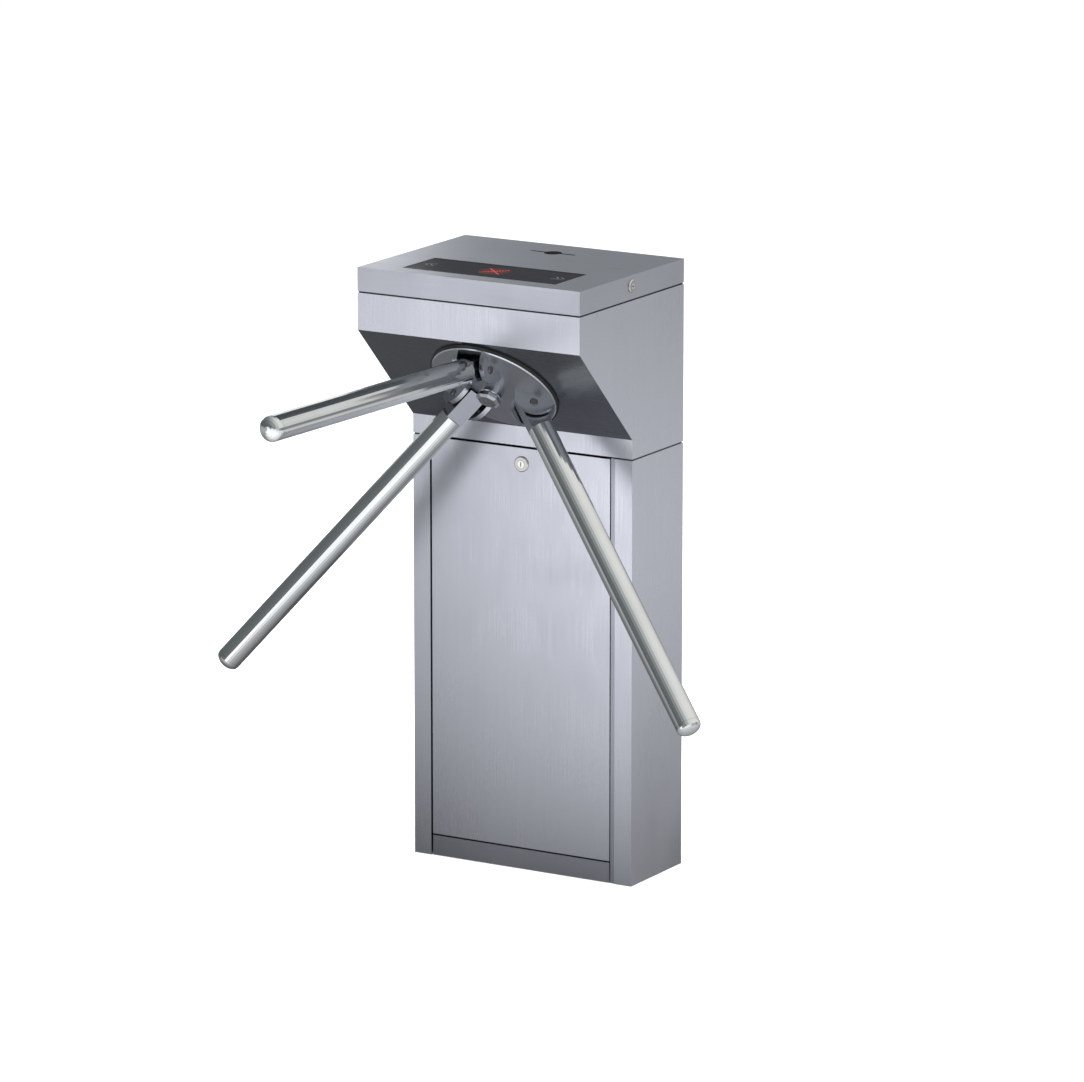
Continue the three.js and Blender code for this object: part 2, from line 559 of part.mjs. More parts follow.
// The housing has a shoulder between its two bearing seats.
const HOUSING = { outer: 42, rim: 58, rimBack: -44, shoulder: 26, seatFront: -54, seatRear: -86 };
part('bearing_housing', turned([
  [seatRadius, HOUSING_BACK], [HOUSING.outer, HOUSING_BACK], [HOUSING.outer, HOUSING.rimBack],
  [HOUSING.rim, HOUSING.rimBack], [HOUSING.rim, PLATE_BACK - FIT], [seatRadius, PLATE_BACK - FIT],
  [seatRadius, HOUSING.seatFront], [HOUSING.shoulder, HOUSING.seatFront],
  [HOUSING.shoulder, HOUSING.seatRear], [seatRadius, HOUSING.seatRear], [seatRadius, HOUSING_BACK],
]), castAlloy, axisFrame);
const bearing = (z) => ring(boreRadius, BEARING_OUTER, z, z + BEARING_WIDTH);
part('front_bearing', bearing(HOUSING.seatFront + FIT), zinc, axisFrame);
part('rear_bearing', bearing(HOUSING.seatRear - FIT - BEARING_WIDTH), zinc, axisFrame);

// ---- Locking: a notched wheel, two pawls and their solenoids ------------------------------------
const WHEEL_RADIUS = 52;
const WHEEL_BACK = -120;
const WHEEL_FRONT = -112;
const NOTCH_HALF = 5.5;
const NOTCH_FLOOR = 45;
const PAWL_X = 66;
const PAWL_PIVOT_Y = -44;
const PLUNGER_Y = 24;
const PLUNGER_Z = -116;
const DAMPER_Y = -(GEAR_MODULE * (GEAR_TEETH + PINION_TEETH)) / 2 - 0.4;

function notchedWheel() {
  const disc = ring(boreRadius, WHEEL_RADIUS, WHEEL_BACK, WHEEL_FRONT, 72);
  const notches = Array.from({ length: LOCK_NOTCHES }, (_, i) =>
    box(NOTCH_FLOOR, WHEEL_RADIUS + 2, -NOTCH_HALF, NOTCH_HALF, WHEEL_BACK - 1, WHEEL_FRONT + 1)
      .rotateZ((i * 2 * Math.PI) / LOCK_NOTCHES));
  return cut(disc, ...notches);
}
part('lock_wheel', notchedWheel(), castAlloy, axisFrame);

// The plate behind the housing, with a stud for each pawl and a tongue for the damper.
const LOCK_PLATE = { halfX: 142, halfY: 62, tongueHalfX: 30, tongueLow: -98 };
const STUD_RADIUS = 5;
const lockPlateFront = HOUSING_BACK - FIT;
const studs = [-PAWL_X, PAWL_X].map((x) =>
  rod(STUD_RADIUS, WHEEL_BACK - 2, LOCK_PLATE_BACK + 0.1, 20).translate(x, PAWL_PIVOT_Y, 0));
part('lock_plate', join(
  cut(
    join(
      box(-LOCK_PLATE.halfX, LOCK_PLATE.halfX, -LOCK_PLATE.halfY, LOCK_PLATE.halfY,
        LOCK_PLATE_BACK, lockPlateFront),
      box(-LOCK_PLATE.tongueHalfX, LOCK_PLATE.tongueHalfX, LOCK_PLATE.tongueLow,
        1 - LOCK_PLATE.halfY, LOCK_PLATE_BACK, lockPlateFront)),
    rod(CLEARANCE_HOLE, LOCK_PLATE_BACK - 1, HOUSING_BACK + 1)),
  ...studs), zinc, axisFrame);

// A lever from its pivot up past the wheel, with a tooth that swings into the wheel's notches.
const PAWL = { eye: 11, inner: PAWL_X - 2, outer: PAWL_X + 8, top: 32 };
const TOOTH = { tip: WHEEL_RADIUS + 3.3, low: -0.5, high: 4.5 };
function pawl(side) {
  const lever = join(
    rod(PAWL.eye, WHEEL_BACK, WHEEL_FRONT, 24).translate(PAWL_X, PAWL_PIVOT_Y, 0),
    box(PAWL.inner, PAWL.outer, PAWL_PIVOT_Y, PAWL.top, WHEEL_BACK, WHEEL_FRONT),
    box(TOOTH.tip, PAWL_X, TOOTH.low, TOOTH.high, WHEEL_BACK, WHEEL_FRONT));
  const pivotHole = rod(STUD_RADIUS + FIT, WHEEL_BACK - 1, WHEEL_FRONT + 1, 20);
  const drilled = cut(lever, pivotHole.translate(PAWL_X, PAWL_PIVOT_Y, 0));
  return side > 0 ? drilled : drilled.rotateY(Math.PI).translate(0, 0, WHEEL_BACK + WHEEL_FRONT);
}

// Each solenoid stands on the lock plate; its plunger pushes the pawl's upper end.
const COIL = { inner: 86, outer: 136, half: 15, bore: 4.4, boreEnd: 126 };
const PLUNGER = { radius: 4, tip: 75.5, end: 112 };
const coilToPlate = LOCK_PLATE_BACK - FIT - PLUNGER_Z;
[['left', -1], ['right', 1]].forEach(([name, side]) => {
  part(`pawl_${name}`, pawl(side), castAlloy, axisFrame);
  const solenoidFrame = frameAt(0, PLUNGER_Y, PLUNGER_Z, axisFrame);
  solenoidFrame.rotation.y = side > 0 ? 0 : Math.PI;
  const coilLow = side > 0 ? -COIL.half : -coilToPlate;
  const coil = cut(
    box(COIL.inner, COIL.outer, -COIL.half, COIL.half, coilLow, coilLow + COIL.half + coilToPlate),
    alongX(rod(COIL.bore, COIL.inner - 1, COIL.boreEnd, 20)));
  part(`solenoid_${name}`, coil, blackPlastic, solenoidFrame);
  part(`plunger_${name}`, alongX(rod(PLUNGER.radius, PLUNGER.tip, PLUNGER.end, 16)), zinc,
    solenoidFrame);
});

// ---- Damping: a gear on the shaft turns the pinion of a rotary damper ----------------------------
const GEAR_BACK = -134;
const GEAR_FRONT = -126;

// A spur gear whose flanks are straight lines, slightly thinned for running clearance.
function gearOutline(teeth) {
  const pitch = (GEAR_MODULE * teeth) / 2;
  const tip = pitch + 0.8 * GEAR_MODULE;
  const root = pitch - 1.15 * GEAR_MODULE;
  const halfAt = { root: 0.33, pitch: 0.215, tip: 0.1 };
  const step = (2 * Math.PI) / teeth;
  const points = [];
  for (let i = 0; i < teeth; i += 1) {
    [[root, -halfAt.root], [pitch, -halfAt.pitch], [tip, -halfAt.tip],
      [tip, halfAt.tip], [pitch, halfAt.pitch], [root, halfAt.root]].forEach(([radius, share]) => {
      const angle = (i + share) * step;
      points.push([radius * Math.cos(angle), radius * Math.sin(angle)]);
    });
  }
  return outline(points);
}

part('damper_gear', cut(
  prism(gearOutline(GEAR_TEETH), GEAR_BACK, GEAR_FRONT),
  rod(boreRadius, GEAR_BACK - 1, GEAR_FRONT + 1)), castAlloy, axisFrame);
const DAMPER = { radius: 19, back: -124, spindle: 4, spindleEnd: -114, bore: 4.4, boreEnd: -112 };
const damperFrame = frameAt(0, DAMPER_Y, 0, axisFrame);
const toothMesh = Math.PI / 2 + Math.PI / PINION_TEETH; // turns a tooth gap towards the large gear
part('damper_pinion', join(
  prism(gearOutline(PINION_TEETH), GEAR_BACK, GEAR_FRONT).rotateZ(toothMesh),
  rod(DAMPER.spindle, GEAR_FRONT - 0.1, DAMPER.spindleEnd, 20)), bronze, damperFrame);
part('damper_body', cut(
  rod(DAMPER.radius, DAMPER.back, LOCK_PLATE_BACK - FIT, 32),
  rod(DAMPER.bore, DAMPER.back - 1, DAMPER.boreEnd, 20)), blackPlastic, damperFrame);

// ---- Position sensing and control ------------------------------------------------------------------
const ENCODER = { radius: 28, back: -142, front: -140 };
const READER = { halfX: 10, low: 22, high: 54, postHigh: 61.5, back: -146, jaw: 2.8 };
part('encoder_disc', ring(boreRadius, ENCODER.radius, ENCODER.back, ENCODER.front), blackPlastic,
  axisFrame);
// A fork with a jaw on each side of the disc, on a post from the lock plate.
const readerJaw = (z0, z1) => box(-READER.halfX, READER.halfX, READER.low, READER.high, z0, z1);
part('encoder_reader', join(
  box(-READER.halfX, READER.halfX, READER.high - 0.5, READER.postHigh, READER.back,
    LOCK_PLATE_BACK - FIT),
  readerJaw(ENCODER.front + 0.6, ENCODER.front + 0.6 + READER.jaw),
  readerJaw(READER.back, ENCODER.back - 0.6)), blackPlastic, axisFrame);

// Control board on four standoffs inside the head's back wall.
// Each chip is [x, z, width, height, depth].
const BOARD_FRONT = 62;
const BOARD_BACK = BOARD_FRONT + 1.6;
const BOARD_HALF_X = 75;
const BOARD_LOW_Z = 730;
const BOARD_HIGH_Z = 880;
const STANDOFF_INSET = 5;
const chips = [
  [-55, 850, 30, 18, 16], [-10, 850, 40, 18, 16], [45, 845, 34, 34, 12],
  [-50, 790, 36, 36, 5], [20, 795, 44, 22, 8], [-30, 745, 60, 14, 12], [48, 748, 26, 18, 12],
];
const standoffs = [-1, 1].flatMap((side) =>
  [BOARD_LOW_Z + STANDOFF_INSET, BOARD_HIGH_Z - STANDOFF_INSET].map((z) => {
    const x = side * (BOARD_HALF_X - STANDOFF_INSET);
    return box(x - 4, x + 4, BOARD_BACK - 0.1, insideBack - FIT, z - 4, z + 4);
  }));
part('control_board', join(
  box(-BOARD_HALF_X, BOARD_HALF_X, BOARD_FRONT, BOARD_BACK, BOARD_LOW_Z, BOARD_HIGH_Z),
  ...chips.map(([x, z, w, h, d]) =>
    box(x - w / 2, x + w / 2, BOARD_FRONT - d, BOARD_FRONT + 0.1, z - h / 2, z + h / 2)),
  ...standoffs), boardGreen);

export default turnstile;
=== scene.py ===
"""Waist-high tripod turnstile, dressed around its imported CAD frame. Metres, +Z up, front towards -Y."""
import math

import bmesh
import bpy
from mathutils import Matrix, Vector


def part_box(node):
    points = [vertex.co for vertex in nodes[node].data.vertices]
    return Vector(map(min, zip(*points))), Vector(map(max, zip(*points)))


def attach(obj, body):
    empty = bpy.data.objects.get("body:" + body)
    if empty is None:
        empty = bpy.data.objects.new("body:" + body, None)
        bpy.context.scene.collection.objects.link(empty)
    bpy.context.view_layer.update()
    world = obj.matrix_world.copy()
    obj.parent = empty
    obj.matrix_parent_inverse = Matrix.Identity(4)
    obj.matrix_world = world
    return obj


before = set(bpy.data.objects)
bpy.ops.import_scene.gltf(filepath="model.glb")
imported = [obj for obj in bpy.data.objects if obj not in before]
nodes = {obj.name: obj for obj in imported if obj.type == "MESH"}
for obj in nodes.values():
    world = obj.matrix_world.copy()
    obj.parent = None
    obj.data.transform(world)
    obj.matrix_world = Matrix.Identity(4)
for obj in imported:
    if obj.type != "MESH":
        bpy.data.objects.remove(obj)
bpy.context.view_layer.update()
scene = bpy.context.scene

MM = 0.001
WINDOW_LOW, WINDOW_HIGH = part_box("display_window")
WINDOW_CENTRE = (WINDOW_LOW + WINDOW_HIGH) / 2


# ---- Materials -----------------------------------------------------------------------------
class Shader:
    """A Principled material with short ways to add the nodes that vary it."""

    def __init__(self, name, color, roughness, metallic=0.0, **sockets):
        self.material = bpy.data.materials.new(name)
        self.material.use_nodes = True
        self.tree = self.material.node_tree
        self.bsdf = self.tree.nodes["Principled BSDF"]
        self.color = (*color, 1.0)
        self.bsdf.inputs["Base Color"].default_value = self.color
        self.bsdf.inputs["Roughness"].default_value = roughness
        self.bsdf.inputs["Metallic"].default_value = metallic
        for socket, value in sockets.items():
            self.bsdf.inputs[socket.replace("_", " ")].default_value = value

    def node(self, kind, **settings):
        made = self.tree.nodes.new(kind)
        for key, value in settings.items():
            setattr(made, key, value)
        return made

    def link(self, source, target):
        self.tree.links.new(source, target)

    def noise(self, scale, detail=4.0, distortion=0.0):
        """Noise over the object's own coordinates; scale is in repeats per metre along X, Y and Z."""
        coordinates = self.node("ShaderNodeTexCoord")
        mapping = self.node("ShaderNodeMapping")
        mapping.inputs["Scale"].default_value = scale
        noise = self.node("ShaderNodeTexNoise")
        noise.inputs["Scale"].default_value = 1.0
        noise.inputs["Detail"].default_value = detail
        noise.inputs["Distortion"].default_value = distortion
        self.link(coordinates.outputs["Object"], mapping.inputs["Vector"])
        self.link(mapping.outputs["Vector"], noise.inputs["Vector"])
        return noise.outputs["Fac"]

    def remap(self, value, low, high, from_low=0.3, from_high=0.7):
        node = self.node("ShaderNodeMapRange")
        node.inputs["From Min"].default_value = from_low
        node.inputs["From Max"].default_value = from_high
        node.inputs["To Min"].default_value = low
        node.inputs["To Max"].default_value = high
        self.link(value, node.inputs["Value"])
        return node.outputs["Result"]

    def math(self, operation, first, second):
        node = self.node("ShaderNodeMath", operation=operation)
        for socket, value in zip(node.inputs, (first, second)):
            if isinstance(value, (int, float)):
                socket.default_value = value
            else:
                self.link(value, socket)
        return node.outputs["Value"]

    def vary_color(self, factor, other):
        """Mixes the base colour so far towards another colour by a factor."""
        mix = self.node("ShaderNodeMix", data_type="RGBA")
        base = self.bsdf.inputs["Base Color"]
        if base.is_linked:
            self.link(base.links[0].from_socket, mix.inputs["A"])
        else:
            mix.inputs["A"].default_value = self.color
        mix.inputs["B"].default_value = (*other, 1.0)
        self.link(factor, mix.inputs["Factor"])
        self.link(mix.outputs["Result"], base)

    def vary_roughness(self, value):
        self.link(value, self.bsdf.inputs["Roughness"])

    def bump(self, height, strength, distance):
        node = self.node("ShaderNodeBump")
        node.inputs["Strength"].default_value = strength
        node.inputs["Distance"].default_value = distance
        self.link(height, node.inputs["Height"])
        self.link(node.outputs["Normal"], self.bsdf.inputs["Normal"])


def brushed(name, color, roughness, grain, contrast=0.55):
    """Satin stainless sheet: fine grain, broader rolling streaks, and faint handling marks."""
    shader = Shader(name, color, roughness, 1.0)
    fine = shader.noise(grain, 6.0)
    streaks = shader.noise([value / 7 for value in grain], 3.0)
    handling = shader.noise((9.0, 9.0, 7.0), 5.0, 0.6)
    dark = [channel * 0.86 for channel in color]
    shader.vary_color(shader.remap(fine, 0.0, 0.38 * contrast), dark)
    shader.vary_color(shader.remap(streaks, 0.0, 0.26 * contrast), dark)
    grain_rough = shader.remap(fine, roughness - 0.05, roughness + 0.05)
    smudges = shader.remap(handling, -0.03, 0.05, 0.35, 0.7)
    shader.vary_roughness(shader.math("ADD", grain_rough, smudges))
    shader.bump(fine, 0.07 * contrast, 0.0002)
    return shader.material


def polished(name, color, roughness, cloud):
    """Bright plating with a soft haze and hairline polishing marks."""
    shader = Shader(name, color, roughness, 1.0)
    haze = shader.noise((14.0, 14.0, 14.0), 5.0)
    hairlines = shader.noise((700.0, 60.0, 700.0), 4.0)
    shader.vary_color(shader.remap(haze, 0.0, 0.6), cloud)
    base = shader.remap(haze, roughness, roughness + 0.07)
    shader.vary_roughness(shader.math("ADD", base, shader.remap(hairlines, 0.0, 0.04)))
    shader.bump(hairlines, 0.03, 0.0001)
    return shader.material


def cast(name, color, roughness, grain_height=0.04):
    """Polished or machined alloy with a trace of the casting's grain."""
    shader = Shader(name, color, roughness, 1.0)
    grain = shader.noise((420.0, 420.0, 420.0), 3.0)
    patches = shader.noise((26.0, 26.0, 26.0), 4.0)
    shader.vary_color(shader.remap(patches, 0.0, 0.45), [channel * 0.85 for channel in color])
    shader.vary_roughness(shader.remap(grain, roughness - 0.03, roughness + 0.03))
    shader.bump(grain, grain_height, 0.0002)
    return shader.material


def zinc(name, color, roughness):
    """Zinc-plated steel with the plating's bluish and straw-coloured clouds."""
    shader = Shader(name, color, roughness, 1.0)
    clouds = shader.noise((22.0, 22.0, 22.0), 4.0, 1.2)
    spangle = shader.noise((260.0, 260.0, 260.0), 3.0)
    shader.vary_color(shader.remap(clouds, 0.0, 0.8), (color[0] * 1.02, color[1] * 0.96, color[2] * 0.8))
    shader.vary_roughness(shader.remap(spangle, roughness - 0.08, roughness + 0.1))
    shader.bump(spangle, 0.08, 0.0002)
    return shader.material


def moulded(name, color, roughness, dustiness=0.05, **sockets):
    """Textured plastic or rubber with dust-lightened patches."""
    shader = Shader(name, color, roughness, 0.0, **sockets)
    texture = shader.noise((900.0, 900.0, 900.0), 2.0)
    dust = shader.noise((30.0, 30.0, 30.0), 5.0)
    pale = [channel * 0.7 + dustiness for channel in color]
    shader.vary_color(shader.remap(dust, 0.0, 0.5, 0.45, 0.8), pale)
    shader.vary_roughness(shader.remap(texture, roughness - 0.06, roughness + 0.06))
    shader.bump(texture, 0.15, 0.0002)
    return shader.material


SOLDER_MASK = (0.012, 0.10, 0.045)
COPPER_TRACK = (0.09, 0.22, 0.07)
TRACK_SCALE = 95.0
TRACK_GAP = 0.035


def circuit(name):
    """Solder mask over copper tracks that run in straight lanes."""
    shader = Shader(name, SOLDER_MASK, 0.35, 0.0, Coat_Weight=0.3)
    coordinates = shader.node("ShaderNodeTexCoord")
    tracks = shader.node("ShaderNodeTexBrick", offset=0.37, squash=0.6)
    tracks.inputs["Scale"].default_value = TRACK_SCALE
    tracks.inputs["Mortar Size"].default_value = TRACK_GAP
    turn = shader.node("ShaderNodeMapping")
    turn.inputs["Rotation"].default_value = (math.radians(90), 0.0, 0.0)
    shader.link(coordinates.outputs["Object"], turn.inputs["Vector"])
    shader.link(turn.outputs["Vector"], tracks.inputs["Vector"])
    shader.vary_color(tracks.outputs["Fac"], COPPER_TRACK)
    shader.vary_roughness(shader.remap(shader.noise((60.0, 60.0, 60.0)), 0.25, 0.5))
    shader.bump(tracks.outputs["Fac"], 0.3, 0.0002)
    return shader.material


# The sign's glow on the glass fades out between these distances from the window's middle.
GLOW_INNER, GLOW_OUTER = 10 * MM, 30 * MM
GLOW_STRENGTH = 0.14


def window_glass(name):
    """Gloss black glass with a red glow around its centre from the sign behind it."""
    shader = Shader(name, (0.011, 0.011, 0.013), 0.16, 0.0, IOR=1.048)
    coordinates = shader.node("ShaderNodeTexCoord")
    place = shader.node("ShaderNodeVectorMath", operation="DISTANCE")
    place.inputs[1].default_value = WINDOW_CENTRE
    shader.link(coordinates.outputs["Object"], place.inputs[0])
    glow = shader.remap(place.outputs["Value"], 1.0, 0.0, GLOW_INNER, GLOW_OUTER)
    shader.bsdf.inputs["Emission Color"].default_value = (0.75, 0.05, 0.04, 1.0)
    shader.link(shader.math("MULTIPLY", glow, GLOW_STRENGTH), shader.bsdf.inputs["Emission Strength"])
    smears = shader.noise((18.0, 40.0, 18.0), 5.0, 0.8)
    shader.vary_roughness(shader.remap(smears, 0.12, 0.24))
    return shader.material


def lit_sign(name):
    """Red light-emitting dots, each a little different."""
    shader = Shader(name, (0.30, 0.02, 0.02), 0.40, IOR=1.2)
    shader.bsdf.inputs["Emission Color"].default_value = (1.0, 0.13, 0.11, 1.0)
    spread = shader.noise((300.0, 300.0, 300.0), 2.0)
    shader.link(shader.remap(spread, 0.35, 0.75), shader.bsdf.inputs["Emission Strength"])
    return shader.material


STEEL = (0.585, 0.598, 0.655)
SHEET_STEEL = brushed("sheet_steel", STEEL, 0.31, (1100.0, 1100.0, 9.0))
LID_STEEL = brushed("lid_steel", STEEL, 0.34, (9.0, 1100.0, 1100.0))
# Painted shade: the lid's sides get a darker steel than its top, for the shade on its side faces.
SKIRT_PAINTED_SHADE_STEEL = brushed("skirt_painted_shade_steel", (0.495, 0.506, 0.555), 0.34, (9.0, 1100.0, 1100.0))
# Painted shade: the slanted face gets a much darker steel than the rest of the same sheet, for the shade
# on the face that looks down.
SLANT_PAINTED_SHADE_STEEL = brushed("slant_painted_shade_steel", (0.225, 0.235, 0.262), 0.24, (9.0, 1100.0, 1100.0), 0.3)
# Painted shade: the kick plate gets a darker steel than the door, for the shade low at the cabinet's
# foot; the recessed strip beside the door gets it too.
KICK_PAINTED_SHADE_STEEL = brushed("kick_painted_shade_steel", (0.40, 0.41, 0.455), 0.36, (1100.0, 1100.0, 9.0))
CHROME = polished("chrome_tube", (0.595, 0.61, 0.61), 0.08, (0.525, 0.54, 0.535))
LOCK_CHROME = polished("lock_chrome", (0.50, 0.50, 0.49), 0.12, (0.44, 0.44, 0.42))
PLUG_CHROME = polished("plug_chrome", (0.74, 0.72, 0.66), 0.10, (0.66, 0.64, 0.56))
HUB_ALLOY = cast("hub_alloy", (0.45, 0.465, 0.50), 0.24, 0.008)
DISC_ALLOY = cast("disc_alloy", (0.45, 0.465, 0.50), 0.37, 0.008)
ROOT_ALLOY = cast("root_alloy", (0.34, 0.355, 0.395), 0.22, 0.008)
MECHANISM_ALLOY = cast("mechanism_alloy", (0.52, 0.53, 0.55), 0.36)
BEARING_STEEL = cast("bearing_steel", (0.62, 0.62, 0.63), 0.18)
ZINC = zinc("zinc_plate", (0.55, 0.57, 0.59), 0.40)
# Painted shade: the neck frame is near-black zinc, so the seam in front of it reads as dark shade.
NECK_PAINTED_SHADE_ZINC = zinc("neck_painted_shade_zinc", (0.10, 0.10, 0.11), 0.50)
BLACK_BOLT = zinc("black_bolt", (0.16, 0.16, 0.17), 0.38)
BRONZE = cast("bronze", (0.62, 0.44, 0.20), 0.30)
BLACK_PLASTIC = moulded("black_plastic", (0.018, 0.018, 0.020), 0.48)
READER_PLASTIC = moulded("reader_plastic", (0.004, 0.004, 0.005), 0.34, 0.006, IOR=1.04)
RUBBER = moulded("seal_rubber", (0.010, 0.010, 0.010), 0.75)
COIL_CASE = moulded("coil_case", (0.022, 0.022, 0.026), 0.40, Coat_Weight=0.2)
BOARD = circuit("circuit_board")
GLASS = window_glass("window_glass")
SIGN = lit_sign("lit_sign")
PRINT = moulded("window_print", (0.075, 0.078, 0.088), 0.45, IOR=1.2)

NODE_MATERIALS = {
    SHEET_STEEL: ["cabinet_shell", "door_panel", "head_shell"],
    LID_STEEL: ["lid_cover"],
    # The kick plate's darker steel is painted shade.
    KICK_PAINTED_SHADE_STEEL: ["kick_plate"],
    CHROME: [f"arm_{i}_{piece}" for i in (1, 2, 3) for piece in ("tube", "end")],
    ROOT_ALLOY: ["arm_1_root", "arm_2_root", "arm_3_root"],
    HUB_ALLOY: ["hub_casting", "hub_cap"],
    BLACK_BOLT: ["arm_1_bolt", "arm_2_bolt", "arm_3_bolt"],
    # The neck frame's near-black zinc is painted shade in the seam.
    NECK_PAINTED_SHADE_ZINC: ["neck_frame"],
    LOCK_CHROME: ["door_lock_body", "lid_lock_body"],
    PLUG_CHROME: ["door_lock_plug", "lid_lock_plug"],
    MECHANISM_ALLOY: ["bearing_housing", "lock_wheel", "pawl_left", "pawl_right", "damper_gear"],
    BEARING_STEEL: ["front_bearing", "rear_bearing"],
    BRONZE: ["damper_pinion"],
    BLACK_PLASTIC: ["battery", "damper_body", "encoder_disc", "encoder_reader"],
    READER_PLASTIC: ["card_reader"],
    RUBBER: ["face_seal"],
    COIL_CASE: ["solenoid_left", "solenoid_right"],
    BOARD: ["control_board", "display_board"],
    GLASS: ["display_window"],
    ZINC: [
        "base_plate", "power_supply", "main_shaft", "mechanism_plate", "lock_plate",
        "plunger_left", "plunger_right", "door_lock_cam", "lid_lock_cam",
        *[f"anchor_bolt_{i}" for i in (1, 2, 3, 4)],
        *[f"hinge_leaf_{kind}_{side}" for kind in ("fixed", "moving") for side in ("left", "right")],
    ],
}

# Edge rounding in millimetres: sheet metal shows its bend radius, castings a softer edge.
EDGE_ROUNDING = {
    SHEET_STEEL: 0.6, LID_STEEL: 0.7, KICK_PAINTED_SHADE_STEEL: 0.6, HUB_ALLOY: 0.8, ROOT_ALLOY: 1.2,
    GLASS: 0.4, LOCK_CHROME: 0.25,
}
DEFAULT_ROUNDING = 0.3
ROUNDING_SEGMENTS = 2
SHARP_ANGLE = math.radians(32)
FLAT_ANGLE = math.radians(0.4)


def dress(node, material):
    """Gives a CAD node its material, rounded edges and smooth shading over its facets."""
    obj = nodes[node]
    obj.data.materials.clear()
    obj.data.materials.append(material)
    obj.data.polygons.foreach_set("use_smooth", [True] * len(obj.data.polygons))
    flatten = obj.modifiers.new("flatten", "DECIMATE")
    flatten.decimate_type = "DISSOLVE"
    flatten.angle_limit = FLAT_ANGLE
    rounding = obj.modifiers.new("rounding", "BEVEL")
    rounding.width = EDGE_ROUNDING.get(material, DEFAULT_ROUNDING) * MM
    rounding.segments = ROUNDING_SEGMENTS
    rounding.limit_method = "ANGLE"
    rounding.angle_limit = SHARP_ANGLE
    rounding.use_clamp_overlap = True
    rounding.harden_normals = True
    obj.modifiers.new("normals", "WEIGHTED_NORMAL").keep_sharp = True


for material, names in NODE_MATERIALS.items():
    for name in names:
        dress(name, material)


def paint(node, material, is_painted):
    """Gives the chosen faces of a node a second material."""
    mesh = nodes[node].data
    mesh.materials.append(material)
    for polygon in mesh.polygons:
        if is_painted(polygon.center, polygon.normal):
            polygon.material_index = 1


cabinet_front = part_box("cabinet_shell")[0].y
door_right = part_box("door_panel")[1].x
display_board_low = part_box("display_board")[0].z
control_board_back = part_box("control_board")[1].y
STRIP_NEAREST, STRIP_FURTHEST = 1.0 * MM, 6.0 * MM
BOARD_THICKNESS = 1.6 * MM
ROTOR_AXIS = Vector((0.0, -1.0, -1.0)).normalized()
STANDOFF_LENGTH = 14.6 * MM

# The lid's sides and the slanted face get darker steel as painted shade; the disc that carries the arms
# gets a rougher alloy.
paint("lid_cover", SKIRT_PAINTED_SHADE_STEEL, lambda centre, normal: abs(normal.z) < 0.5)
paint("head_shell", SLANT_PAINTED_SHADE_STEEL, lambda centre, normal: normal.y < -0.6 and normal.z < -0.6)
paint("hub_casting", DISC_ALLOY, lambda centre, normal: normal.dot(ROTOR_AXIS) > 0.99)
# The strip between the door and the right stile gets the kick plate's darker steel: painted shade for the
# recess it lies in.
paint("cabinet_shell", KICK_PAINTED_SHADE_STEEL, lambda centre, normal: (
    normal.y < -0.9 and centre.x > door_right
    and STRIP_NEAREST < centre.y - cabinet_front < STRIP_FURTHEST))
# The boards' components are black.
paint("display_board", COIL_CASE, lambda centre, normal: (
    centre.z > display_board_low + 1.1 * BOARD_THICKNESS))
paint("control_board", COIL_CASE, lambda centre, normal: (
    centre.y < control_board_back - STANDOFF_LENGTH - 1.1 * BOARD_THICKNESS))


# ---- Added pieces --------------------------------------------------------------------------
def piece(name, mesh_maker, material, body, slot, rounding=0.0):
    """A new piece from a function that fills a bmesh in metres, in the row's frame."""
    bm = bmesh.new()
    mesh_maker(bm)
    bmesh.ops.recalc_face_normals(bm, faces=bm.faces)
    mesh = bpy.data.meshes.new(name)
    bm.to_mesh(mesh)
    bm.free()
    mesh.polygons.foreach_set("use_smooth", [True] * len(mesh.polygons))
    mesh.set_sharp_from_angle(angle=SHARP_ANGLE)
    obj = bpy.data.objects.new(name, mesh)
    scene.collection.objects.link(obj)
    obj.data.materials.append(material)
    if rounding:
        bevel = obj.modifiers.new("rounding", "BEVEL")
        bevel.width = rounding * MM
        bevel.segments = ROUNDING_SEGMENTS
        bevel.angle_limit = SHARP_ANGLE
    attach(obj, body)
    return obj


def add_turned(bm, profile, matrix, sides=24):
    """Turns an open (radius, height) profile in millimetres about Z; it starts and ends on the axis."""
    rings = []
    for radius, height in profile:
        count = 1 if radius == 0 else sides
        rings.append([
            bm.verts.new(matrix @ Vector((
                radius * math.cos(2 * math.pi * i / sides) * MM,
                radius * math.sin(2 * math.pi * i / sides) * MM,
                height * MM)))
            for i in range(count)])
    for low, high in zip(rings, rings[1:]):
        for i in range(sides):
            corners = [low[i % len(low)], low[(i + 1) % len(low)],
                       high[(i + 1) % len(high)], high[i % len(high)]]
            bm.faces.new(list(dict.fromkeys(corners)))


LED_PITCH = 3.2 * MM
LED_STEPS = 5  # on each arm of the cross
LED_SIDES = 12
LED_SINK = 0.05 * MM
LED_DOME = [(0, 0.0), (1.3, 0.0), (1.15, 0.18), (0.7, 0.30), (0, 0.34)]


def status_cross(bm):
    """Low domes on the glass, in two crossing diagonal rows."""
    top = Vector((0, 0, WINDOW_HIGH.z - LED_SINK))
    for i in range(-LED_STEPS, LED_STEPS + 1):
        for side in (-1, 1):
            if i == 0 and side == 1:
                continue
            offset = Vector((i * LED_PITCH, side * i * LED_PITCH, 0))
            place = Vector((WINDOW_CENTRE.x, WINDOW_CENTRE.y, 0)) + offset + top
            add_turned(bm, LED_DOME, Matrix.Translation(place), LED_SIDES)


# Millimetres from the window's middle to the inner chevron's tip, and from there to the outer one's.
MARK_TIP, MARK_STEP = 117, 9
MARK_SINK, MARK_HEIGHT = 0.10 * MM, 0.20 * MM
# A chevron that points outwards, in millimetres from its tip.
CHEVRON = [(0, 0), (-9, 9), (-11.5, 9), (-2.5, 0), (-11.5, -9), (-9, -9)]


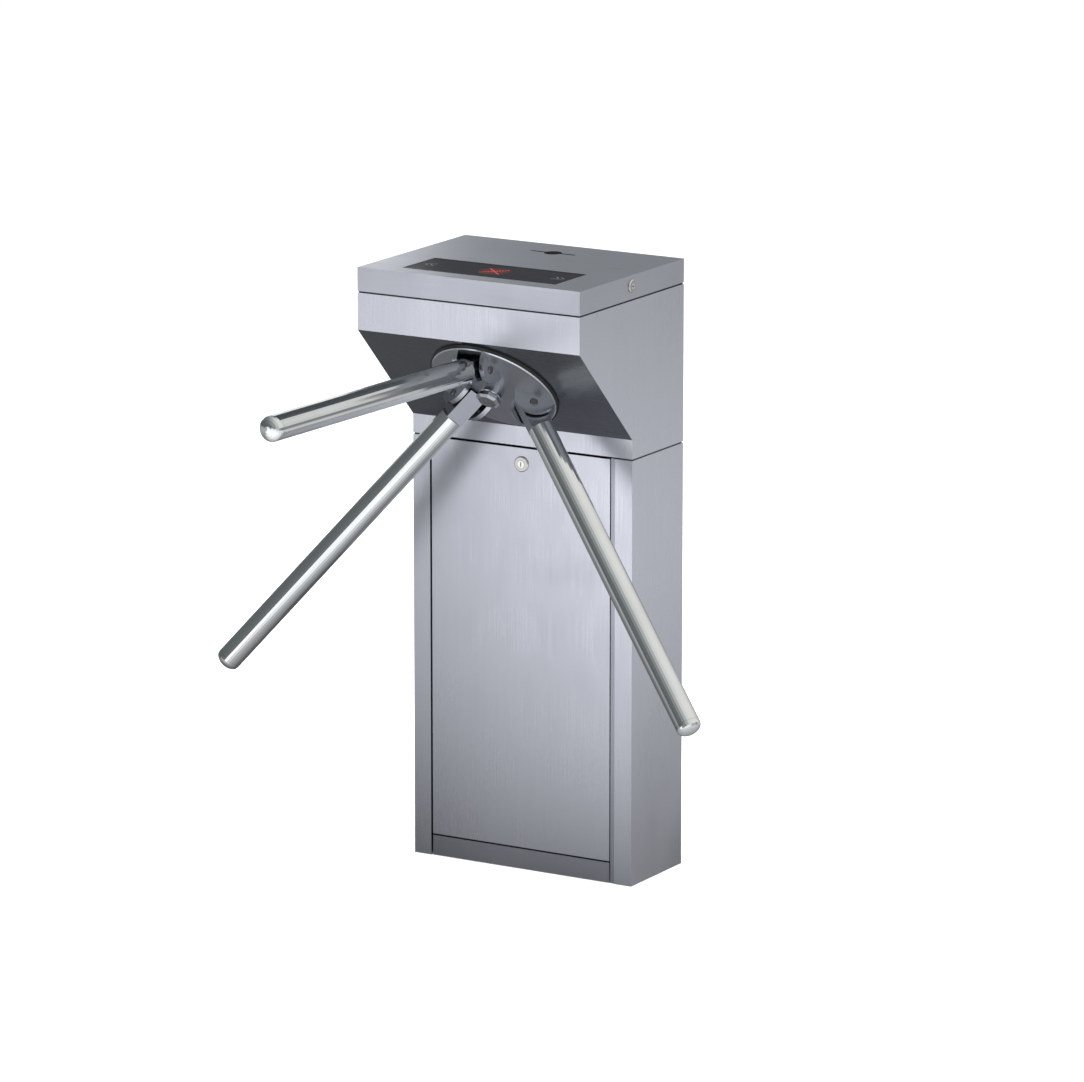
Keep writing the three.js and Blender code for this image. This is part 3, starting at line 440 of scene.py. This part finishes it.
def window_marks(bm):
    """A pair of chevrons at each end of the window, pointing outwards."""
    low, high = WINDOW_HIGH.z - MARK_SINK, WINDOW_HIGH.z + MARK_HEIGHT
    for side in (-1, 1):
        for step in (0, 1):
            tip_x = WINDOW_CENTRE.x + side * (MARK_TIP + MARK_STEP * step) * MM
            tip = Vector((tip_x, WINDOW_CENTRE.y, 0))
            outline = [tip + Vector((side * x * MM, y * MM, 0)) for x, y in CHEVRON]
            lower = [bm.verts.new((p.x, p.y, low)) for p in outline]
            upper = [bm.verts.new((p.x, p.y, high)) for p in outline]
            bm.faces.new(upper)
            bm.faces.new(lower)
            for i in range(len(CHEVRON)):
                j = (i + 1) % len(CHEVRON)
                bm.faces.new([lower[i], lower[j], upper[j], upper[i]])


# The seam strip's section: (distance in from the lid's sides, distance below the lid) in millimetres.
SEAM_SHADE_STRIP_SECTION = [
    (3.2, 2.4), (1.9, 2.4), (1.5, 2.1), (1.3, 1.6), (1.3, 0.9), (1.5, 0.4), (1.9, 0.1), (3.2, 0.1)]


def lid_seam_shade_strip(bm):
    """A black rubber strip in the seam under the lid, with a rounded outer side and mitred corners; it is
    painted shade that keeps the seam dark.
    """
    low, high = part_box("lid_cover")
    seam_top = low.z
    loops = []
    for inset, below in SEAM_SHADE_STRIP_SECTION:
        x0, x1 = low.x + inset * MM, high.x - inset * MM
        y0, y1 = low.y + inset * MM, high.y - inset * MM
        z = seam_top - below * MM
        loops.append([bm.verts.new(corner) for corner in
                      ((x0, y0, z), (x1, y0, z), (x1, y1, z), (x0, y1, z))])
    for loop, following in zip(loops, loops[1:] + loops[:1]):
        for i in range(4):
            j = (i + 1) % 4
            bm.faces.new((loop[i], loop[j], following[j], following[i]))


# The black strip in the lid's seam stands in for the seam's shade.
piece("lid_seam_shade_strip", lid_seam_shade_strip, RUBBER, "cabinet", "seal_rubber")
piece("status_cross", status_cross, SIGN, "lid", "black_gloss")
piece("window_marks", window_marks, PRINT, "lid", "black_gloss")


# Each screw's place on its leaf: along the hinge from the leaf's middle, and in from its far edge.
SCREW_PLACES = ((-17, 8), (0, 12), (17, 8))
SCREW_HEAD = [(0, 0), (3.4, 0), (3.2, 0.9), (2.2, 1.5), (1.2, 1.6), (0.9, 1.0), (0, 0.9)]
SCREW_SIDES = 20
SCREW_SINK = 0.05
LEAF_THICKNESS = 1.8


def hinge_screws(kind, height_sign):
    """Three pan heads with a round recess on each leaf of one kind."""
    def make(bm):
        for side in ("left", "right"):
            low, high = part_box(f"hinge_leaf_{kind}_{side}")
            centre_x = (low.x + high.x) / 2
            far_edge = low.z if height_sign < 0 else high.z
            leaf_back = low.y + (LEAF_THICKNESS - SCREW_SINK) * MM
            for dx, inset in SCREW_PLACES:
                place = Matrix.Translation((
                    centre_x + dx * MM, leaf_back, far_edge - height_sign * inset * MM))
                facing_back = place @ Matrix.Rotation(math.radians(-90), 4, "X")
                add_turned(bm, SCREW_HEAD, facing_back, SCREW_SIDES)
    return make


piece("hinge_screws_fixed", hinge_screws("fixed", -1), ZINC, "cabinet", "zinc_steel")
piece("hinge_screws_moving", hinge_screws("moving", 1), ZINC, "lid", "zinc_steel")


# ---- Floor, light and camera -----------------------------------------------------------------
# The floor as metal reflects it, by distance in metres from the middle of the cabinet's foot.
NEAR_LEVEL = 0.25
LEVEL_PER_METRE = 0.40
FULL_LEVEL = 1.38
STRONGEST = 2.1
# Darker towards the back right, and a little more so further away.
TO_BACK_RIGHT = (0.51, 0.86, 0.0)
FRONT_FACTOR = 1.03
BACK_SHADE = 0.37
BACK_SHADE_PER_METRE = 0.058
LEAST_BACK_FACTOR = 0.10
# Darker behind the line from the front left to the back right, most of all at its front end.
TO_FRONT_RIGHT = (0.86, -0.51, 0.0)
LEFT_FADE_PER_METRE = 3.0
LEFT_FRONT_FACTOR = 0.45
LEFT_BACK_GAIN = 0.5
# A bright stretch in front of that line, which rises and then fades away from it.
STRETCH_RISE_PER_METRE = 1.4
STRETCH_MOST = 0.9
STRETCH_SIDE_END, STRETCH_SIDE_LEAST = 2.5, 0.3
# It fades with distance too, or the head's left side seen from behind would be washed out.
STRETCH_FAR_END, STRETCH_FAR_LEAST = 3.4, 0.25
REFLECTED_TINT = (0.97, 0.98, 1.0, 1.0)
PALE_FLOOR = (0.90, 0.90, 0.90, 1.0)
FLOOR_HAZE = 0.30
SMALLEST_DISTANCE = 0.05


def floor_material():
    """Pale floor; what metal reflects of it is shaded by distance and side, as between dark walls."""
    material = bpy.data.materials.new("studio_floor")
    material.use_nodes = True
    tree = material.node_tree
    tree.nodes.clear()
    new = tree.nodes.new

    def value(kind, first, second=None):
        node = new("ShaderNodeMath")
        node.operation = kind
        for socket, source in zip(node.inputs, (first, second)):
            if isinstance(source, (int, float)):
                socket.default_value = source
            elif source is not None:
                tree.links.new(source, socket)
        return node.outputs["Value"]

    position = new("ShaderNodeNewGeometry").outputs["Position"]

    def along(direction):
        """How far a floor point lies along a direction, in metres."""
        node = new("ShaderNodeVectorMath")
        node.operation = "DOT_PRODUCT"
        node.inputs[1].default_value = direction
        tree.links.new(position, node.inputs[0])
        return node.outputs["Value"]

    def clamp(source, low, high):
        return value("MINIMUM", value("MAXIMUM", source, low), high)

    def rising(source, slope, start):
        return value("ADD", value("MULTIPLY", source, slope), start)

    length = new("ShaderNodeVectorMath")
    length.operation = "LENGTH"
    tree.links.new(position, length.inputs[0])
    distance = length.outputs["Value"]
    level = value("MINIMUM", rising(distance, LEVEL_PER_METRE, NEAR_LEVEL), FULL_LEVEL)
    # From -1 at the front left to 1 at the back right, and the same from 0 to 1.
    lean = value("DIVIDE", along(TO_BACK_RIGHT), value("MAXIMUM", distance, SMALLEST_DISTANCE))
    behind = rising(lean, 0.5, 0.5)
    shade = value("MULTIPLY", behind, rising(distance, BACK_SHADE_PER_METRE, BACK_SHADE))
    from_front = value("MAXIMUM", value("SUBTRACT", FRONT_FACTOR, shade), LEAST_BACK_FACTOR)
    across = along(TO_FRONT_RIGHT)
    darkest = rising(clamp(lean, 0.0, 1.0), LEFT_BACK_GAIN, LEFT_FRONT_FACTOR)
    left_side = clamp(rising(across, LEFT_FADE_PER_METRE, 1.0), darkest, 1.0)
    stretch = clamp(value("MULTIPLY", across, STRETCH_RISE_PER_METRE), 0.0, STRETCH_MOST)
    to_side = value("MAXIMUM", value("SUBTRACT", STRETCH_SIDE_END, across), STRETCH_SIDE_LEAST)
    far_off = value("MAXIMUM", value("SUBTRACT", STRETCH_FAR_END, distance), STRETCH_FAR_LEAST)
    stretch = value("MINIMUM", value("MINIMUM", stretch, to_side), far_off)
    factor = value("MULTIPLY", from_front, value("ADD", left_side, stretch))
    reflected = new("ShaderNodeEmission")
    reflected.inputs["Color"].default_value = REFLECTED_TINT
    strength = value("MINIMUM", value("MULTIPLY", level, factor), STRONGEST)
    tree.links.new(strength, reflected.inputs["Strength"])
    pale = new("ShaderNodeBsdfDiffuse")
    pale.inputs["Color"].default_value = PALE_FLOOR
    haze = new("ShaderNodeEmission")
    haze.inputs["Strength"].default_value = FLOOR_HAZE
    visible = new("ShaderNodeAddShader")
    tree.links.new(pale.outputs["BSDF"], visible.inputs[0])
    tree.links.new(haze.outputs["Emission"], visible.inputs[1])
    ray = new("ShaderNodeLightPath").outputs["Is Camera Ray"]
    mix = new("ShaderNodeMixShader")
    tree.links.new(ray, mix.inputs["Fac"])
    tree.links.new(reflected.outputs["Emission"], mix.inputs[1])
    tree.links.new(visible.outputs["Shader"], mix.inputs[2])
    tree.links.new(mix.outputs["Shader"], new("ShaderNodeOutputMaterial").inputs["Surface"])
    return material


FLOOR_SIZE = 120.0
FLOOR_Z = -0.3 * MM  # just under the cabinet, so that the two never share a plane
floor_mesh = bpy.data.meshes.new("floor")
corners = [(x * FLOOR_SIZE, y * FLOOR_SIZE, FLOOR_Z) for x, y in ((-1, -1), (1, -1), (1, 1), (-1, 1))]
floor_mesh.from_pydata(corners, [], [(0, 1, 2, 3)])
floor = bpy.data.objects.new("floor", floor_mesh)
scene.collection.objects.link(floor)
floor_mesh.materials.append(floor_material())


TO_SOFT_LIGHT = Vector((0.740, 0.198, 0.643))
TO_DARK_WALL = Vector((-0.15, 0.83, 0.54))
# The surroundings' level, from facing away from the soft light (0) to facing it (1).
SURROUNDINGS = [(0.0, 0.11), (0.28, 0.17), (0.47, 0.26), (0.52, 0.34), (0.62, 0.46), (0.69, 0.56),
                (0.83, 0.82), (0.88, 0.94), (1.0, 1.0)]
SURROUNDINGS_STRENGTH = 1.2
# The wall fades in between these cosines of the angle from its direction.
WALL_EDGE, WALL_FULL = 0.92, 0.965
WALL_COLOR = (0.075, 0.085, 0.095, 1.0)


def studio_world():
    """Surroundings from dark at the lower left to a soft light at the upper right, with a dark
    stretch of wall high up behind."""
    world = bpy.data.worlds.new("studio")
    world.use_nodes = True
    tree = world.node_tree
    new = tree.nodes.new
    outlook = new("ShaderNodeTexCoord").outputs["Generated"]

    def facing(direction):
        """The cosine of the angle between the outlook and a direction."""
        node = new("ShaderNodeVectorMath")
        node.operation = "DOT_PRODUCT"
        node.inputs[1].default_value = direction.normalized()
        tree.links.new(outlook, node.inputs[0])
        return node.outputs["Value"]

    span = new("ShaderNodeMapRange")
    span.inputs["From Min"].default_value = -1.0
    tree.links.new(facing(TO_SOFT_LIGHT), span.inputs["Value"])
    ramp = new("ShaderNodeValToRGB")
    while len(ramp.color_ramp.elements) < len(SURROUNDINGS):
        ramp.color_ramp.elements.new(0.5)
    for element, (place, level) in zip(ramp.color_ramp.elements, SURROUNDINGS):
        element.position = place
        # Bluish in the shade and a little warm in the light.
        element.color = (level * (0.82 + 0.18 * place), level * (0.94 + 0.04 * place),
                         level * (1.0 - 0.05 * place), 1.0)
    tree.links.new(span.outputs["Result"], ramp.inputs["Fac"])
    wall = new("ShaderNodeMapRange")
    wall.interpolation_type = "SMOOTHSTEP"
    wall.inputs["From Min"].default_value = WALL_EDGE
    wall.inputs["From Max"].default_value = WALL_FULL
    tree.links.new(facing(TO_DARK_WALL), wall.inputs["Value"])
    darken = new("ShaderNodeMix")
    darken.data_type = "RGBA"
    darken.inputs["B"].default_value = WALL_COLOR
    tree.links.new(wall.outputs["Result"], darken.inputs["Factor"])
    tree.links.new(ramp.outputs["Color"], darken.inputs["A"])
    background = tree.nodes["Background"]
    background.inputs["Strength"].default_value = SURROUNDINGS_STRENGTH
    tree.links.new(darken.outputs["Result"], background.inputs["Color"])
    scene.world = world


studio_world()


def softbox(name, place, aim, size, power, glossy=True):
    light = bpy.data.lights.new(name, "AREA")
    light.shape = "RECTANGLE"
    light.size, light.size_y = size
    light.energy = power
    obj = bpy.data.objects.new(name, light)
    obj.location = place
    obj.rotation_euler = (Vector(aim) - Vector(place)).to_track_quat("-Z", "Y").to_euler()
    obj.visible_glossy = glossy
    obj.visible_camera = False
    scene.collection.objects.link(obj)


softbox("key_light", (-2.6, -2.8, 3.4), (0, -0.1, 0.6), (2.2, 2.2), 170, glossy=False)
softbox("fill_light", (3.2, -2.2, 2.6), (0, -0.1, 0.6), (2.6, 2.6), 70, glossy=False)
softbox("top_light", (0.0, 0.4, 4.4), (0, 0, 0), (4.5, 4.5), 230, glossy=False)
softbox("back_left_light", (-1.64, 1.0, 1.40), (-0.1, 0, 0.95), (1.5, 0.9), 3.8)

# Camera: a long lens from the front right, looking slightly down.
AZIMUTH = math.radians(30.721)
PITCH = math.radians(13.0)
DISTANCE = 10.639
TARGET = Vector((0.03997, -0.085, 0.54091))
SENSOR_WIDTH = 36.0
FOCAL_LENGTH = 225.392
back = Vector((
    math.sin(AZIMUTH) * math.cos(PITCH), -math.cos(AZIMUTH) * math.cos(PITCH), math.sin(PITCH)))
camera_data = bpy.data.cameras.new("camera")
camera_data.sensor_fit = "HORIZONTAL"
camera_data.sensor_width = SENSOR_WIDTH
camera_data.lens = FOCAL_LENGTH
camera_data.clip_end = 200.0
camera = bpy.data.objects.new("camera", camera_data)
camera.location = TARGET + back * DISTANCE
camera.rotation_euler = (-back).to_track_quat("-Z", "Y").to_euler()
scene.collection.objects.link(camera)
scene.camera = camera
scene.view_settings.view_transform = "Standard"
